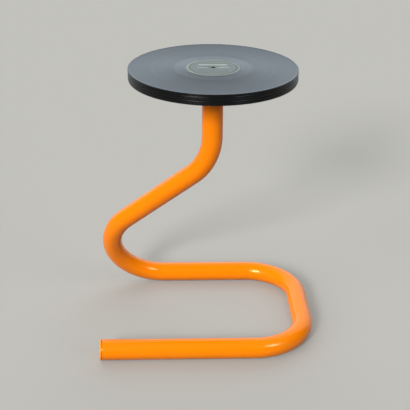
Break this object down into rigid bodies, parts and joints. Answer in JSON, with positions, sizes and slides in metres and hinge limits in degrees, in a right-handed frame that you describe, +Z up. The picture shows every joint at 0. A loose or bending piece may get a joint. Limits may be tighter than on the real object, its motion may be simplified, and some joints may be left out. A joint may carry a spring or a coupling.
{
  "type": "stool",
  "caption": "Low round stool: a flat seat of stacked black records, screwed to a plate on one bent orange steel tube that also makes the open floor loop.",
  "frame": {"origin": "on the floor, under the middle of the part's box; the post's axis stands 9.48 mm to the +X side of it", "axes": "+Z up, +X from the free end of the front rail to the cross rail, +Y from the front rail to the rear rail"},
  "size_m": [0.407, 0.333, 0.508],
  "materials": {
    "enamelled_steel": "smooth gloss powder coat, bright orange",
    "orange_plastic": "moulded plug, satin orange",
    "black_vinyl": "pressed vinyl with fine grooves, plain glossy rim",
    "label_paper": "grey-green paper label, plain printed rings",
    "zinc_steel": "zinc plated"
  },
  "bodies": {
    "root": {"bent_tube": "enamelled_steel", "end_plug": "orange_plastic", "seat_plate": "enamelled_steel", "plate_weld": "enamelled_steel", "seat_screw_1": "zinc_steel", "seat_screw_2": "zinc_steel", "seat_screw_3": "zinc_steel", "seat_screw_4": "zinc_steel", "record_01": "black_vinyl", "record_02": "black_vinyl", "record_03": "black_vinyl", "record_04": "black_vinyl", "record_05": "black_vinyl", "record_06": "black_vinyl", "record_07": "black_vinyl", "record_08": "black_vinyl", "record_09": "black_vinyl", "record_10": "black_vinyl", "label_01_upper": "label_paper", "label_01_lower": "label_paper", "label_02_upper": "label_paper", "label_02_lower": "label_paper", "label_03_upper": "label_paper", "label_03_lower": "label_paper", "label_04_upper": "label_paper", "label_04_lower": "label_paper", "label_05_upper": "label_paper", "label_05_lower": "label_paper", "label_06_upper": "label_paper", "label_06_lower": "label_paper", "label_07_upper": "label_paper", "label_07_lower": "label_paper", "label_08_upper": "label_paper", "label_08_lower": "label_paper", "label_09_upper": "label_paper", "label_09_lower": "label_paper", "label_10_upper": "label_paper", "label_10_lower": "label_paper"}
  },
  "joints": []
}
